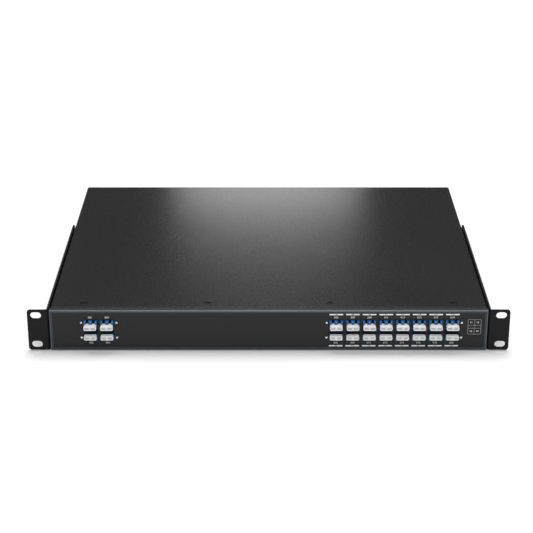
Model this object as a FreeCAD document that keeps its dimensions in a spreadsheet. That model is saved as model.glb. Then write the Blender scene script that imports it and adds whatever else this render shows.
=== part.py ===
import FreeCAD, Part
import math
import os

import Sketcher

# Rack-mount wavelength multiplexer, one rack unit high.
# X runs along the front to the right, Y into the rack, Z up.
# The origin is the middle of the rack-hole pattern, on the rear face of the ears.

DRIVING_SIZES = {
    # Rack ears
    "rack_width": 482.6,
    "ear_sheet": 2.0,
    "ear_bend": 1.0,
    "ear_corner": 3.0,
    "ear_plate_length": 228.0,
    "ear_gap": 1.0,
    "spacer_inset": 20.0,
    "spacer_length": 12.0,
    "spacer_height": 28.0,
    "slot_side_inset": 8.75,
    "slot_top_inset": 6.125,
    "slot_length": 10.8,
    "slot_width": 7.0,
    # Enclosure
    "ear_reach": 22.3,
    "panel_height": 44.0,
    "panel_depth": 6.5,
    "panel_proud": 1.0,
    "rim_bevel_width": 0.8,
    "rim_bevel_depth": 0.8,
    "rim_land": 2.0,
    "face_recess": 0.5,
    "chassis_back": 348.0,
    "sheet": 1.2,
    "bend_outside": 1.6,
    "lid_bend": 2.4,
    "fit_gap": 0.2,
    "seam_gap": 0.5,
    "front_flange": 24.0,
    "rear_flange": 14.0,
    "side_lip": 16.0,
    "lid_floor_gap": 0.6,
    # Ports
    "port_pitch": 16.6,
    "row_pitch": 12.4,
    "left_port_margin": 40.9,
    "right_port_margin": 35.3,
    "left_columns": 2,
    "right_columns": 8,
    "port_clearance": 0.2,
    # Duplex adapter
    "adapter_width": 12.9,
    "adapter_height": 9.8,
    "adapter_length": 27.6,
    "adapter_proud": 1.5,
    "collar_width": 14.9,
    "collar_height": 11.6,
    "collar_depth": 1.6,
    "ferrule_pitch": 6.25,
    "port_opening": 4.7,
    "port_drop": 0.7,
    "port_bottom": 11.5,
    "latch_width": 3.9,
    "latch_height": 2.95,
    "latch_slope": 1.1,
    "sleeve_pocket": 2.4,
    # Dust cap
    "cap_width": 12.4,
    "cap_height": 4.5,
    "cap_depth": 4.8,
    "cap_standoff": 1.6,
    "cap_drop": 0.9,
    "cap_corner": 0.8,
    "cap_hollow_width": 4.2,
    "cap_hollow_height": 2.4,
    "cap_hollow_depth": 1.2,
    "plug_side": 4.3,
    "plug_corner": 1.0,
    "plug_length": 5.0,
    "plug_taper_start": 1.5,
    "plug_taper": 2.0,
    # Fasteners
    "screw_head": 2.75,
    "screw_sink": 0.4,
    "screw_shank": 1.45,
    "screw_clearance": 0.15,
    "screw_length": 7.0,
    "socket_across_flats": 2.0,
    "socket_depth": 0.8,
    "cover_screws": 4,
    "cover_screw_margin": 33.45,
    "cover_screw_setback": 10.1,
    # Filter modules
    "module_width": 100.0,
    "module_length": 62.0,
    "module_height": 12.0,
    "module_step": 1.5,
    "exit_side": 5.0,
    "exit_length": 9.0,
    # Fibre drums
    "drum_radius": 24.0,
    "drum_height": 15.0,
    "drum_setback": 84.0,
    "left_drum_margin": 69.0,
    "coil_outside": 31.0,
    "coil_gap": 0.3,
    # Inner connectors
    "connector_side": 4.4,
    "connector_seat": 10.5,
    "connector_length": 26.0,
    "fan_height": 17.5,
    "fan_end": 8.0,
}

# Sizes that follow from the driving ones, as formulas over the sheet
WORKED_OUT_SIZES = {
    "panel_width": "rack_width - 2 * ear_reach",
    "panel_half": "panel_width / 2",
    "top": "panel_height / 2",
    "panel_front": "-ear_sheet - panel_proud",
    "panel_back": "panel_front + panel_depth",
    "face_plane": "panel_front + face_recess",
    "adapter_front": "face_plane - adapter_proud",
    "wall_back": "panel_back + sheet",
    "lid_front": "panel_back + seam_gap",
    "lid_under": "top - sheet",
    "tray_top": "lid_under - fit_gap",
    "tray_half": "panel_half - sheet - fit_gap",
    "floor_top": "sheet - top",
    "row_height": "row_pitch / 2",
    "slot_spacing_across": "rack_width - 2 * slot_side_inset",
    "slot_spacing_up": "panel_height - 2 * slot_top_inset",
    "left_port_start": "left_port_margin - panel_half",
    "right_port_start": "panel_half - right_port_margin - (right_columns - 1) * port_pitch",
    "port_hole_width": "adapter_width + 2 * port_clearance",
    "port_hole_height": "adapter_height + 2 * port_clearance",
    "screw_head_height": "sheet - screw_sink",
    "seat_flare": "screw_sink * (screw_head - screw_shank) / screw_head_height",
    "cover_screw_row": "lid_front + cover_screw_setback",
    "cover_screw_spacing": "(panel_width - 2 * cover_screw_margin) / (cover_screws - 1)",
    "socket_half_side": "socket_across_flats / sqrt(12)",
    "right_bay": "right_port_start + (right_columns - 1) * port_pitch / 2",
    "left_bay": "left_port_start + (left_columns - 1) * port_pitch / 2",
    "connector_tip": "adapter_front + adapter_length - connector_seat",
    "connector_end": "connector_tip + connector_length",
    "left_drum": "left_drum_margin - panel_half",
    "drum_middle_y": "connector_end + drum_setback",
    "module_middle": "drum_middle_y + coil_outside + coil_gap + exit_length + module_length / 2",
    "coil_level": "floor_top + drum_height / 2",
}

doc = FreeCAD.newDocument("multiplexer")
size = doc.addObject("Spreadsheet::Sheet", "size")
nodes = []


def fill_sheet():
    """Driving sizes first, then the formulas that use them."""
    row = 1
    for alias, value in DRIVING_SIZES.items():
        size.set("A%d" % row, alias)
        size.set("B%d" % row, str(value))
        size.setAlias("B%d" % row, alias)
        row += 1
    for alias, formula in WORKED_OUT_SIZES.items():
        size.set("A%d" % row, alias)
        size.set("B%d" % row, "=" + formula)
        size.setAlias("B%d" % row, alias)
        row += 1
    doc.recompute()


def of_sheet(expression):
    """The value of a formula over the sheet, in millimetres."""
    return float(size.evalExpression(expression))


def bound(expression):
    """The same formula as other objects have to write it."""
    words = []
    word = ""
    for letter in expression + " ":
        if letter.isalnum() or letter in "_.":
            word += letter
            continue
        if word and word[0].isalpha():
            word = "size." + word
        words.append(word + letter)
        word = ""
    return "".join(words).strip()


def keep(shape_object, label):
    """Names a finished sub-part and puts it on the list of nodes."""
    shape_object.Label = label
    nodes.append(shape_object)
    return shape_object


def new_body(name):
    return doc.addObject("PartDesign::Body", name)


def origin_plane(body, role):
    """One of the body's own planes or axes."""
    for feature in body.Origin.OriginFeatures:
        if feature.Role == role:
            return feature
    raise ValueError("nothing has the role " + role)


def new_sketch(body, name, plane, offset="0"):
    """A sketch parallel to one of the body's own planes."""
    sketch = body.newObject("Sketcher::SketchObject", name)
    sketch.AttachmentSupport = (origin_plane(body, plane), [""])
    sketch.MapMode = "FlatFace"
    sketch.setExpression("AttachmentOffset.Base.z", bound(offset))
    return sketch


def across_front(body, name, y="0"):
    """A sketch in X and Z, at this Y."""
    return new_sketch(body, name, "XZ_Plane", "-(" + y + ")")


def hold(sketch, dimensions):
    """Sketch dimensions held by formulas: kind, what it measures, formula."""
    constraints = []
    for kind, ends, formula in dimensions:
        constraints.append(Sketcher.Constraint(kind, *ends, of_sheet(formula)))
    numbers = sketch.addConstraint(constraints)
    for number, (kind, ends, formula) in zip(numbers, dimensions):
        sketch.setExpression("Constraints[%d]" % number, bound(formula))


def polygon(sketch, corners):
    """A closed outline whose corners are pairs of formulas."""
    points = [FreeCAD.Vector(of_sheet(across), of_sheet(up), 0) for across, up in corners]
    count = len(points)
    first = sketch.GeometryCount
    lines = [Part.LineSegment(points[index - 1], points[index]) for index in range(count)]
    sketch.addGeometry(lines)
    joints = [Sketcher.Constraint("Coincident", first + index, 2, first + (index + 1) % count, 1)
              for index in range(count)]
    sketch.addConstraint(joints)
    dimensions = []
    for index, (across, up) in enumerate(corners):
        dimensions.append(("DistanceX", (-1, 1, first + index, 2), across))
        dimensions.append(("DistanceY", (-1, 1, first + index, 2), up))
    hold(sketch, dimensions)


def rectangle(sketch, left, bottom, right, top):
    polygon(sketch, [(left, bottom), (right, bottom), (right, top), (left, top)])


def centred_rectangle(sketch, across, up, width, height):
    half_width = "(" + width + ") / 2"
    half_height = "(" + height + ") / 2"
    rectangle(sketch, across + " - " + half_width, up + " - " + half_height,
              across + " + " + half_width, up + " + " + half_height)


def circle(sketch, across, up, radius):
    centre = FreeCAD.Vector(of_sheet(across), of_sheet(up), 0)
    normal = FreeCAD.Vector(0, 0, 1)
    index = sketch.addGeometry(Part.Circle(centre, normal, of_sheet(radius)))
    hold(sketch, [
        ("DistanceX", (-1, 1, index, 3), across),
        ("DistanceY", (-1, 1, index, 3), up),
        ("Radius", (index,), radius),
    ])


def slot(sketch, across, up, length, width):
    """A level slot with round ends."""
    middle_x = of_sheet(across)
    middle_z = of_sheet(up)
    radius = of_sheet(width) / 2
    reach = of_sheet(length) / 2 - radius
    normal = FreeCAD.Vector(0, 0, 1)
    first = sketch.GeometryCount
    quarter = math.pi / 2
    left = Part.Circle(FreeCAD.Vector(middle_x - reach, middle_z, 0), normal, radius)
    right = Part.Circle(FreeCAD.Vector(middle_x + reach, middle_z, 0), normal, radius)
    above = [FreeCAD.Vector(middle_x + side * reach, middle_z + radius, 0) for side in (-1, 1)]
    below = [FreeCAD.Vector(middle_x + side * reach, middle_z - radius, 0) for side in (1, -1)]
    sketch.addGeometry([
        Part.ArcOfCircle(left, quarter, 3 * quarter),
        Part.ArcOfCircle(right, -quarter, quarter),
        Part.LineSegment(*above),
        Part.LineSegment(*below),
    ])
    sketch.addConstraint([
        Sketcher.Constraint("Tangent", first, 1, first + 2, 1),
        Sketcher.Constraint("Tangent", first + 2, 2, first + 1, 2),
        Sketcher.Constraint("Tangent", first + 1, 1, first + 3, 1),
        Sketcher.Constraint("Tangent", first + 3, 2, first, 2),
    ])
    half_reach = "((" + length + ") - (" + width + ")) / 2"
    hold(sketch, [
        ("DistanceX", (-1, 1, first, 3), across + " - " + half_reach),
        ("DistanceX", (-1, 1, first + 1, 3), across + " + " + half_reach),
        ("DistanceY", (-1, 1, first, 3), up),
        ("Radius", (first,), "(" + width + ") / 2"),
        ("DistanceY", (-1, 1, first + 1, 3), up),
    ])


def pad(body, sketch, length, away=False, both_sides=False):
    """Adds material; away turns it against the sketch's own normal."""
    feature = body.newObject("PartDesign::Pad", sketch.Name + "_pad")
    feature.Profile = sketch
    feature.setExpression("Length", bound(length))
    feature.Reversed = away
    if both_sides:
        feature.SideType = "Symmetric"
    body.Tip = feature
    doc.recompute()
    return feature


def revolve(body, sketch, axis="Z_Axis"):
    """A full turn of the profile about one of the body's own axes."""
    feature = body.newObject("PartDesign::Revolution", sketch.Name + "_turned")
    feature.Profile = sketch
    feature.ReferenceAxis = (origin_plane(body, axis), [""])
    feature.Angle = 360
    body.Tip = feature
    doc.recompute()
    return feature


def pocket(body, sketch, length, away=False, both_sides=False):
    """Removes material, and makes sure that some has gone."""
    before = body.Shape.Volume
    feature = body.newObject("PartDesign::Pocket", sketch.Name + "_cut")
    feature.Profile = sketch
    feature.setExpression("Length", bound(length))
    feature.Reversed = away
    if both_sides:
        feature.SideType = "Symmetric"
    body.Tip = feature
    doc.recompute()
    if not body.Shape.Volume < before:
        raise ValueError(sketch.Name + " cuts nothing")
    return feature


def edges_at(feature, test):
    """Names of the edges whose two ends and middle all pass the test."""
    names = []
    for index, edge in enumerate(feature.Shape.Edges):
        middle = edge.valueAt((edge.FirstParameter + edge.LastParameter) / 2)
        points = [vertex.Point for vertex in edge.Vertexes] + [middle]
        if all(test(point) for point in points):
            names.append("Edge%d" % (index + 1))
    return names


def near(value, formula):
    tolerance = 0.001
    return abs(value - of_sheet(formula)) < tolerance


def fillet(body, name, test, radius):
    base = body.Tip
    feature = body.newObject("PartDesign::Fillet", name)
    feature.Base = (base, edges_at(base, test))
    feature.setExpression("Radius", bound(radius))
    body.Tip = feature
    doc.recompute()
    return feature


def chamfer(body, name, test, width):
    base = body.Tip
    feature = body.newObject("PartDesign::Chamfer", name)
    feature.Base = (base, edges_at(base, test))
    feature.setExpression("Size", bound(width))
    body.Tip = feature
    doc.recompute()
    return feature


def placed_link(form, label, place, turn=None):
    """One more piece of the same form, at a place given by formulas."""
    link = doc.addObject("App::Link", label)
    link.LinkedObject = form
    if turn:
        axis, angle = turn
        link.LinkPlacement = FreeCAD.Placement(FreeCAD.Vector(), FreeCAD.Rotation(axis, angle))
    for axis_name, formula in zip("xyz", place):
        link.setExpression("LinkPlacement.Base." + axis_name, bound(formula))
    return link


def group(form, label, places, turns=None):
    """Like pieces in one node, each a solid of its own."""
    links = []
    for index, place in enumerate(places):
        turn = turns[index] if turns else None
        links.append(placed_link(form, "%s_%02d" % (label, index + 1), place, turn))
    compound = doc.addObject("Part::Compound", label)
    compound.Links = links
    doc.recompute()
    return keep(compound, label)


def count_of(alias):
    return int(round(of_sheet(alias)))


def pattern_across(body, name, cut, count, spacing):
    """Repeats a cut along X, and makes sure that each copy has removed material."""
    before = body.Shape.Volume
    pattern = body.newObject("PartDesign::LinearPattern", name)
    pattern.Originals = [cut]
    pattern.Direction = (origin_plane(body, "X_Axis"), [""])
    pattern.Mode = "Spacing"
    pattern.Occurrences = count_of(count)
    pattern.setExpression("Offset", bound(spacing))
    body.Tip = pattern
    doc.recompute()
    if not body.Shape.Volume < before:
        raise ValueError(name + " cuts nothing")


def port_columns():
    """Formulas for the middle of each column of ports, from left to right."""
    columns = []
    for bay in ("left", "right"):
        for index in range(count_of(bay + "_columns")):
            columns.append("%s_port_start + %d * port_pitch" % (bay, index))
    return columns


def port_holes(body, name, y, depth):
    """Two bays of port holes through a wall, each a pattern of its first column."""
    for bay in ("left", "right"):
        sketch = across_front(body, "%s_%s_port" % (name, bay), y)
        for up in ("row_height", "-row_height"):
            centred_rectangle(sketch, bay + "_port_start", up, "port_hole_width", "port_hole_height")
        first_column = pocket(body, sketch, depth)
        pattern_across(body, "%s_%s_ports" % (name, bay), first_column, bay + "_columns", "port_pitch")


# Enclosure

def make_front_panel():
    """Bezel with a bevelled rim round a recessed face."""
    body = new_body("front_panel")
    sketch = across_front(body, "panel_outline", "panel_front")
    rectangle(sketch, "-panel_half", "-top", "panel_half", "top")
    pad(body, sketch, "panel_depth", away=True)
    bevel = chamfer(body, "rim_bevel", lambda point: near(point.y, "panel_front"), "rim_bevel_depth")
    bevel.ChamferType = "Two distances"
    bevel.setExpression("Size", bound("rim_bevel_depth"))
    bevel.setExpression("Size2", bound("rim_bevel_width"))
    doc.recompute()
    if near(body.Shape.BoundBox.YMin, "panel_front"):
        land = [face for face in body.Shape.Faces if near(face.CenterOfMass.y, "panel_front")]
        bevel.FlipDirection = not near(land[0].BoundBox.XMax, "panel_half - rim_bevel_width")
        doc.recompute()
    sketch = across_front(body, "face_outline", "panel_front")
    inset = "(rim_bevel_width + rim_land)"
    rectangle(sketch, "-panel_half + " + inset, "-top + " + inset,
              "panel_half - " + inset, "top - " + inset)
    pocket(body, sketch, "face_recess")
    port_holes(body, "panel", "panel_front", "panel_depth")
    return keep(body, "front_panel")


def make_chassis_tray():
    """Floor, front wall and rear wall folded from one sheet, with low side lips."""
    body = new_body("chassis_tray")
    sketch = new_sketch(body, "tray_fold", "YZ_Plane")
    polygon(sketch, [
        ("panel_back + front_flange", "tray_top"),
        ("panel_back", "tray_top"),
        ("panel_back", "-top"),
        ("chassis_back", "-top"),
        ("chassis_back", "tray_top"),
        ("chassis_back - rear_flange", "tray_top"),
        ("chassis_back - rear_flange", "tray_top - sheet"),
        ("chassis_back - sheet", "tray_top - sheet"),
        ("chassis_back - sheet", "floor_top"),
        ("wall_back", "floor_top"),
        ("wall_back", "tray_top - sheet"),
        ("panel_back + front_flange", "tray_top - sheet"),
    ])
    pad(body, sketch, "2 * tray_half", both_sides=True)

    def outside_bend(point):
        at_wall = near(point.y, "panel_back") or near(point.y, "chassis_back")
        return at_wall and (near(point.z, "-top") or near(point.z, "tray_top"))

    def inside_bend(point):
        at_wall = near(point.y, "wall_back") or near(point.y, "chassis_back - sheet")
        return at_wall and (near(point.z, "floor_top") or near(point.z, "tray_top - sheet"))

    fillet(body, "tray_outside_bends", outside_bend, "bend_outside")
    fillet(body, "tray_inside_bends", inside_bend, "bend_outside - sheet")
    sketch = across_front(body, "side_lips", "panel_back + bend_outside")
    for left, right in (("-tray_half", "-tray_half + sheet"), ("tray_half - sheet", "tray_half")):
        rectangle(sketch, left, "-top", right, "-top + side_lip")
    pad(body, sketch, "chassis_back - panel_back - 2 * bend_outside", away=True)
    port_holes(body, "wall", "panel_back", "sheet")
    sketch = new_sketch(body, "flange_screw_holes", "XY_Plane", "tray_top")
    for across in screw_places():
        circle(sketch, across, "cover_screw_row", "screw_shank + screw_clearance")
    pocket(body, sketch, "sheet")
    return keep(body, "chassis_tray")


def screw_places():
    """Formulas for the lid screws' distance from the middle."""
    count = count_of("cover_screws")
    return ["%s * cover_screw_spacing" % (index - (count - 1) / 2) for index in range(count)]


def screw_seats(body):
    """Countersunk holes in a row, cut as a pattern of the first one."""
    sketch = across_front(body, "lid_screw_seat", "cover_screw_row")
    sketch.setExpression("AttachmentOffset.Base.x", bound(screw_places()[0]))
    polygon(sketch, [
        ("0", "top"), ("screw_head + seat_flare + screw_clearance", "top"),
        ("screw_shank + screw_clearance", "lid_under"), ("0", "lid_under"),
    ])
    seat = body.newObject("PartDesign::Groove", "lid_screw_seat_cut")
    seat.Profile = sketch
    seat.ReferenceAxis = (sketch, ["V_Axis"])
    seat.Angle = 360
    body.Tip = seat
    doc.recompute()
    pattern_across(body, "lid_screw_seats", seat, "cover_screws", "cover_screw_spacing")


def make_top_cover():
    """Lid with full-height sides, folded over the tray."""
    body = new_body("top_cover")
    sketch = across_front(body, "lid_fold", "lid_front")
    low = "-top + lid_floor_gap"
    polygon(sketch, [
        ("-panel_half", low), ("-panel_half + sheet", low), ("-panel_half + sheet", "lid_under"),
        ("panel_half - sheet", "lid_under"), ("panel_half - sheet", low), ("panel_half", low),
        ("panel_half", "top"), ("-panel_half", "top"),
    ])
    pad(body, sketch, "chassis_back - lid_front", away=True)
    fillet(body, "lid_outside_bends",
           lambda point: near(abs(point.x), "panel_half") and near(point.z, "top"), "lid_bend")
    fillet(body, "lid_inside_bends",
           lambda point: near(abs(point.x), "panel_half - sheet") and near(point.z, "lid_under"),
           "bend_outside - sheet")
    screw_seats(body)
    return keep(body, "top_cover")


def make_rack_ear(label, side):
    """L bracket: a slotted flange in front and a long plate, held off the chassis side by spacers."""
    body = new_body(label)
    sketch = new_sketch(body, label + "_fold", "XY_Plane")
    inner = "%d * (panel_half + ear_gap)" % side
    outer = "%d * (panel_half + ear_gap + ear_sheet)" % side
    tip = "%d * rack_width / 2" % side
    polygon(sketch, [
        (inner, "-ear_sheet"), (tip, "-ear_sheet"), (tip, "0"),
        (outer, "0"), (outer, "ear_plate_length"), (inner, "ear_plate_length"),
    ])
    pad(body, sketch, "panel_height", both_sides=True)
    fillet(body, label + "_outside_bend",
           lambda point: near(point.x, inner) and near(point.y, "-ear_sheet"), "ear_bend + ear_sheet")
    fillet(body, label + "_inside_bend",
           lambda point: near(point.x, outer) and near(point.y, "0"), "ear_bend")
    fillet(body, label + "_corners",
           lambda point: near(abs(point.z), "top")
           and (near(point.x, tip) or near(point.y, "ear_plate_length")), "ear_corner")
    sketch = across_front(body, label + "_slots", "-ear_sheet")
    for up in ("slot_spacing_up / 2", "-slot_spacing_up / 2"):
        slot(sketch, "%d * slot_spacing_across / 2" % side, up, "slot_length", "slot_width")
    pocket(body, sketch, "ear_sheet")
    spacer_start = "panel_half" if side > 0 else "-panel_half - ear_gap"
    sketch = new_sketch(body, label + "_spacers", "YZ_Plane", spacer_start)
    for start in ("spacer_inset", "ear_plate_length - spacer_inset - spacer_length"):
        rectangle(sketch, start, "-spacer_height / 2", start + " + spacer_length", "spacer_height / 2")
    pad(body, sketch, "ear_gap")
    return keep(body, label)


# Ports

def port_outlines(sketch):
    """Two square ports, each with the tapered slot for a latch above it."""
    half = "port_opening / 2"
    for side in (-1, 1):
        middle = "%s * ferrule_pitch" % (side / 2)
        shoulder = half + " - port_drop"
        crown = shoulder + " + latch_height"
        polygon(sketch, [
            (middle + " - " + half, "-" + half + " - port_drop"),
            (middle + " + " + half, "-" + half + " - port_drop"),
            (middle + " + " + half, shoulder),
            (middle + " + latch_width / 2", shoulder),
            (middle + " + latch_width / 2 - latch_slope", crown),
            (middle + " - latch_width / 2 + latch_slope", crown),
            (middle + " - latch_width / 2", shoulder),
            (middle + " - " + half, shoulder),
        ])


def make_adapter_form():
    """Duplex coupler seen from its front face, which lies at Y = 0."""
    body = new_body("adapter_form")
    sketch = across_front(body, "adapter_outline")
    centred_rectangle(sketch, "0", "0", "adapter_width", "adapter_height")
    pad(body, sketch, "adapter_length", away=True)
    sketch = across_front(body, "adapter_collar", "wall_back - adapter_front")
    centred_rectangle(sketch, "0", "0", "collar_width", "collar_height")
    pad(body, sketch, "collar_depth", away=True)
    sketch = across_front(body, "front_ports")
    port_outlines(sketch)
    pocket(body, sketch, "port_bottom")
    sketch = across_front(body, "rear_ports", "adapter_length")
    for side in (-0.5, 0.5):
        centred_rectangle(sketch, "%s * ferrule_pitch" % side, "-port_drop",
                          "port_opening", "port_opening")
    pocket(body, sketch, "port_bottom", away=True)
    sketch = across_front(body, "sleeve_pockets")
    for side in (-0.5, 0.5):
        centred_rectangle(sketch, "%s * ferrule_pitch" % side, "-port_drop",
                          "sleeve_pocket", "sleeve_pocket")
    pocket(body, sketch, "adapter_length")
    return body


def make_cap_form():
    """Duplex dust cap: a grip joined to two plugs that taper inwards, in the coupler's frame."""
    body = new_body("cap_form")
    sketch = across_front(body, "cap_plugs", "plug_length")
    low = "-port_drop - plug_side / 2"
    high = "-port_drop + plug_side / 2"
    for side in (-0.5, 0.5):
        middle = "%s * ferrule_pitch" % side
        left = middle + " - plug_side / 2"
        right = middle + " + plug_side / 2"
        polygon(sketch, [
            (left, low), (right, low), (right, high + " - plug_corner"),
            (right + " - plug_corner", high), (left + " + plug_corner", high),
            (left, high + " - plug_corner"),
        ])
    pad(body, sketch, "plug_length + cap_standoff")
    sketch = new_sketch(body, "plug_lead_in", "YZ_Plane")
    polygon(sketch, [
        ("plug_taper_start", high), ("plug_length", high + " - plug_taper"), ("plug_length", high),
    ])
    pocket(body, sketch, "cap_width", both_sides=True)
    sketch = across_front(body, "cap_grip", "-cap_standoff")
    centred_rectangle(sketch, "0", "-cap_drop", "cap_width", "cap_height")
    pad(body, sketch, "cap_depth")
    chamfer(body, "cap_corners",
            lambda point: near(abs(point.x), "cap_width / 2") and near(abs(point.z + of_sheet("cap_drop")),
                                                                      "cap_height / 2"), "cap_corner")
    sketch = across_front(body, "cap_hollows", "-cap_standoff - cap_depth")
    for side in (-0.5, 0.5):
        centred_rectangle(sketch, "%s * ferrule_pitch" % side, "-cap_drop",
                          "cap_hollow_width", "cap_hollow_height")
    pocket(body, sketch, "cap_hollow_depth")
    return body


def place_ports(adapter_form, cap_form):
    """Couplers and caps in both rows; the lower row is the upper one turned over."""
    turned_over = (FreeCAD.Vector(0, 1, 0), 180)
    for row, up, turn in (("upper", "row_height", None), ("lower", "-row_height", turned_over)):
        for index, across in enumerate(port_columns()):
            place = (across, "adapter_front", up)
            for form, name in ((adapter_form, "adapter"), (cap_form, "dust_cap")):
                label = "%s_%s_%02d" % (name, row, index + 1)
                keep(placed_link(form, label, place, turn), label)
    doc.recompute()


# Fasteners

def make_screw_form():
    """Countersunk screw with a hex socket, the flat of its head at Z = 0."""
    body = new_body("screw_form")
    sketch = new_sketch(body, "screw_profile", "XZ_Plane")
    polygon(sketch, [
        ("0", "0"), ("screw_head", "0"), ("screw_shank", "-screw_head_height"),
        ("screw_shank", "-screw_length"), ("0", "-screw_length"),
    ])
    revolve(body, sketch)
    sketch = new_sketch(body, "screw_socket", "XY_Plane")
    half_side = "socket_half_side"
    half_flat = "socket_across_flats / 2"
    polygon(sketch, [
        ("2 * " + half_side, "0"), (half_side, half_flat), ("-" + half_side, half_flat),
        ("-2 * " + half_side, "0"), ("-" + half_side, "-" + half_flat), (half_side, "-" + half_flat),
    ])
    pocket(body, sketch, "socket_depth")
    return body


def place_screws(screw_form):
    places = [(across, "cover_screw_row", "top - screw_sink") for across in screw_places()]
    group(screw_form, "cover_screws", places)


# Inside of the enclosure

def make_module_form():
    """Filter module with a stepped lid and a fibre exit, standing on Z = 0."""
    body = new_body("module_form")
    sketch = new_sketch(body, "module_plan", "XY_Plane")
    centred_rectangle(sketch, "0", "0", "module_width", "module_length")
    pad(body, sketch, "module_height")
    sketch = new_sketch(body, "module_lid", "XY_Plane", "module_height")
    centred_rectangle(sketch, "0", "0", "module_width - 2 * module_step", "module_length - 2 * module_step")
    pad(body, sketch, "module_step")
    sketch = across_front(body, "module_exit", "-module_length / 2 - exit_length")
    centred_rectangle(sketch, "0", "module_height / 2", "exit_side", "exit_side")
    pad(body, sketch, "exit_length", away=True)
    return body


def make_drum_form():
    """Winding drum, standing on Z = 0."""
    body = new_body("drum_form")
    sketch = new_sketch(body, "drum_profile", "XZ_Plane")
    rectangle(sketch, "0", "0", "drum_radius", "drum_height")
    revolve(body, sketch)
    return body


def make_coil_form():
    """Spare fibre wound on the drum."""
    body = new_body("coil_form")
    sketch = new_sketch(body, "coil_profile", "XZ_Plane")
    rectangle(sketch, "drum_radius + coil_gap", "0", "coil_outside", "drum_height")
    revolve(body, sketch)
    return body


def make_connector_form():
    """Inner duplex plug: two tips joined by a clip, its tips' ends at Y = 0."""
    body = new_body("connector_form")
    sketch = across_front(body, "connector_tips")
    for side in (-0.5, 0.5):
        centred_rectangle(sketch, "%s * ferrule_pitch" % side, "0", "connector_side", "connector_side")
    pad(body, sketch, "connector_seat", away=True)
    sketch = across_front(body, "connector_clip", "connector_seat")
    centred_rectangle(sketch, "0", "0", "ferrule_pitch + connector_side", "connector_side")
    pad(body, sketch, "connector_length - connector_seat", away=True)
    return body


def place_connectors(connector_form):
    places = []
    for up in ("row_height - port_drop", "-row_height + port_drop"):
        places += [(across, "connector_tip", up) for across in port_columns()]
    group(connector_form, "inner_connectors", places)


def make_fan(label, middle, half_width, drum_middle):
    """Fibres that gather from the connectors of one bay down to its drum."""
    body = new_body(label)
    start = "connector_end + coil_gap"
    finish = "drum_middle_y - coil_outside - coil_gap"
    sketch = new_sketch(body, label + "_plan", "XY_Plane")
    polygon(sketch, [
        (middle + " - " + half_width, start), (middle + " + " + half_width, start),
        (drum_middle + " + fan_end / 2", finish), (drum_middle + " - fan_end / 2", finish),
    ])
    pad(body, sketch, "panel_height", both_sides=True)
    sketch = new_sketch(body, label + "_above", "YZ_Plane")
    polygon(sketch, [
        (start, "fan_height / 2"), (finish, "coil_level + fan_end / 2"),
        (finish, "panel_height"), (start, "panel_height"),
    ])
    pocket(body, sketch, "panel_width", both_sides=True)
    sketch = new_sketch(body, label + "_below", "YZ_Plane")
    polygon(sketch, [
        (start, "-fan_height / 2"), (finish, "coil_level - fan_end / 2"),
        (finish, "-panel_height"), (start, "-panel_height"),
    ])
    pocket(body, sketch, "panel_width", both_sides=True)
    return keep(body, label)


def furnish_inside():
    middles = ("left_drum", "right_bay")
    module_form = make_module_form()
    drum_places = [(middle, "drum_middle_y", "floor_top") for middle in middles]
    group(make_drum_form(), "fibre_drums", drum_places)
    group(make_coil_form(), "fibre_coils", drum_places)
    for bay, middle in zip(("left", "right"), middles):
        name = "filter_module_" + bay
        keep(placed_link(module_form, name, (middle, "module_middle", "floor_top")), name)
        make_fan("fibre_fan_" + bay, bay + "_bay", bay + "_columns * port_pitch / 2", middle)
    doc.recompute()


def check_and_write():
    """Nothing is written unless every feature and every sub-part is sound."""
    doc.recompute()
    for item in doc.Objects:
        if "Invalid" in item.State or "Error" in item.State:
            raise ValueError(item.Name + " is not sound")
    for node in nodes:
        shape = Part.getShape(node)
        if shape.isNull() or not shape.isValid():
            raise ValueError(node.Label + " has no valid shape")
    os.makedirs("parts", exist_ok=True)
    for node in nodes:
        Part.getShape(node).exportStep(os.path.join("parts", node.Label + ".step"))
    print(len(nodes), "sub-parts written")


fill_sheet()
make_front_panel()
make_chassis_tray()
make_top_cover()
make_rack_ear("rack_ear_left", -1)
make_rack_ear("rack_ear_right", 1)
place_ports(make_adapter_form(), make_cap_form())
place_screws(make_screw_form())
furnish_inside()
place_connectors(make_connector_form())
check_and_write()
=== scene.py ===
import math

import bpy
from mathutils import Matrix, Vector


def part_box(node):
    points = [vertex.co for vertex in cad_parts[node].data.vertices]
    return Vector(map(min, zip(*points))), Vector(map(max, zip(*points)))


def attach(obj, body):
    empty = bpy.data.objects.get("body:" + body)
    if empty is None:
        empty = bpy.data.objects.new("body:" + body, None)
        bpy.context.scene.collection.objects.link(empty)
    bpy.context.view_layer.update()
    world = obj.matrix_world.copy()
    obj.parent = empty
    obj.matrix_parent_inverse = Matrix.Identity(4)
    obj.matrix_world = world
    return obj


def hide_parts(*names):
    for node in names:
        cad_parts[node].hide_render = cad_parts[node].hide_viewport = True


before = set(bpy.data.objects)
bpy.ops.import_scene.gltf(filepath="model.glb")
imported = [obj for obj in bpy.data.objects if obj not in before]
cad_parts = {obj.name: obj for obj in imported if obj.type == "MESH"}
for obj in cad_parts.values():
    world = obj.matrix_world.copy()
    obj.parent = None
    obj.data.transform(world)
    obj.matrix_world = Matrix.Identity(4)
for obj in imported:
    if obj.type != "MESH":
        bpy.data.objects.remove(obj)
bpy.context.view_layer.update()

MM = 0.001

# The camera, as it was fitted to the photo, in the CAD frame
PHOTO_SIDE = 533
FOCAL_PIXELS = 1491.6
SENSOR_WIDTH = 36.0
CAMERA_PLACE = Vector((-2.1, -1347.2, 653.7)) * MM
CAMERA_PITCH = math.radians(23.48)
NEAREST_SEEN = 0.01
FARTHEST_SEEN = 50

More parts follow.
